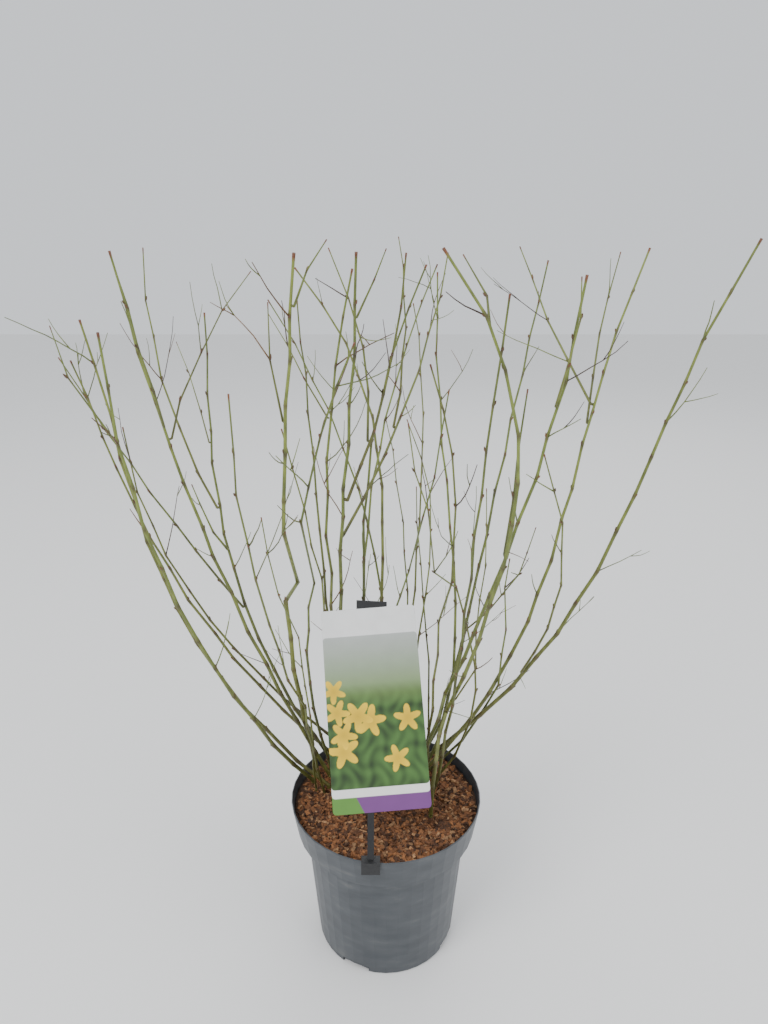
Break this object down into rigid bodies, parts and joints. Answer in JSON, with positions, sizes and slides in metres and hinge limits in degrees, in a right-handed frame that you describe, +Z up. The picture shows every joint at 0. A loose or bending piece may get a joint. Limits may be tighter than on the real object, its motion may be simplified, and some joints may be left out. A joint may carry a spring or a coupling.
{
  "type": "potted kerria shrub",
  "caption": "Potted Japanese kerria at winter rest: bare green arching canes in a round nursery pot with bark soil and a clip-on picture label",
  "frame": {"origin": "middle of the pot's flat underside, on the floor", "axes": "+Z up along the pot's axis, +X to the right of the label, -Y towards the side that the label faces"},
  "size_m": [0.6685, 0.4616, 0.8204],
  "materials": {
    "pot_plastic": "satin dark blue-grey moulded plastic, lightly scuffed",
    "bark_soil": "coarse damp bark and coir chips",
    "label_card": "printed plastic card, semi-gloss",
    "clip_plastic": "black moulded plastic",
    "green_bark": "smooth green winter bark with darker nodes"
  },
  "bodies": {
    "root": {"pot": "pot_plastic", "potting_soil": "bark_soil", "plant_label": "label_card", "label_stick": "clip_plastic", "cane_left_sweep": "green_bark", "cane_left_front": "green_bark", "cane_left_far": "green_bark", "cane_left_low": "green_bark", "cane_left_tall": "green_bark", "cane_left_back": "green_bark", "cane_left_whip": "green_bark", "cane_left_short": "green_bark", "cane_left_upright": "green_bark", "cane_inner_left": "green_bark", "cane_front_left": "green_bark", "cane_back_curl": "green_bark", "cane_back_left": "green_bark", "cane_back_cross": "green_bark", "cane_middle_left": "green_bark", "cane_middle_thick": "green_bark", "cane_middle_right": "green_bark", "cane_middle_back": "green_bark", "cane_right_thin": "green_bark", "cane_right_inner": "green_bark", "cane_right_front": "green_bark", "cane_right_cross": "green_bark", "cane_back_short": "green_bark", "cane_back_thin": "green_bark", "cane_back_tall": "green_bark", "cane_right_short": "green_bark", "cane_front_right": "green_bark", "cane_right_back": "green_bark", "cane_front_hook": "green_bark", "cane_right_tall": "green_bark", "cane_right_far": "green_bark", "cane_right_lean": "green_bark", "cane_right_low": "green_bark", "bough_left_cross": "green_bark", "bough_left_stub": "green_bark", "bough_left_twin": "green_bark", "bough_left_rise": "green_bark", "bough_left_arch": "green_bark", "bough_left_tuft": "green_bark", "bough_left_tip": "green_bark", "bough_upright_fork": "green_bark", "bough_upright_tip": "green_bark", "bough_middle_reach": "green_bark", "bough_middle_lean": "green_bark", "bough_middle_top": "green_bark", "bough_middle_front": "green_bark", "bough_middle_far": "green_bark", "bough_back_top": "green_bark", "bough_hook_tip": "green_bark", "bough_hook_side": "green_bark", "bough_lean_tip": "green_bark", "bough_tall_fork": "green_bark", "bough_tall_cross": "green_bark", "bough_right_hang": "green_bark", "bough_right_spur": "green_bark", "bough_front_whip": "green_bark"}
  },
  "joints": []
}
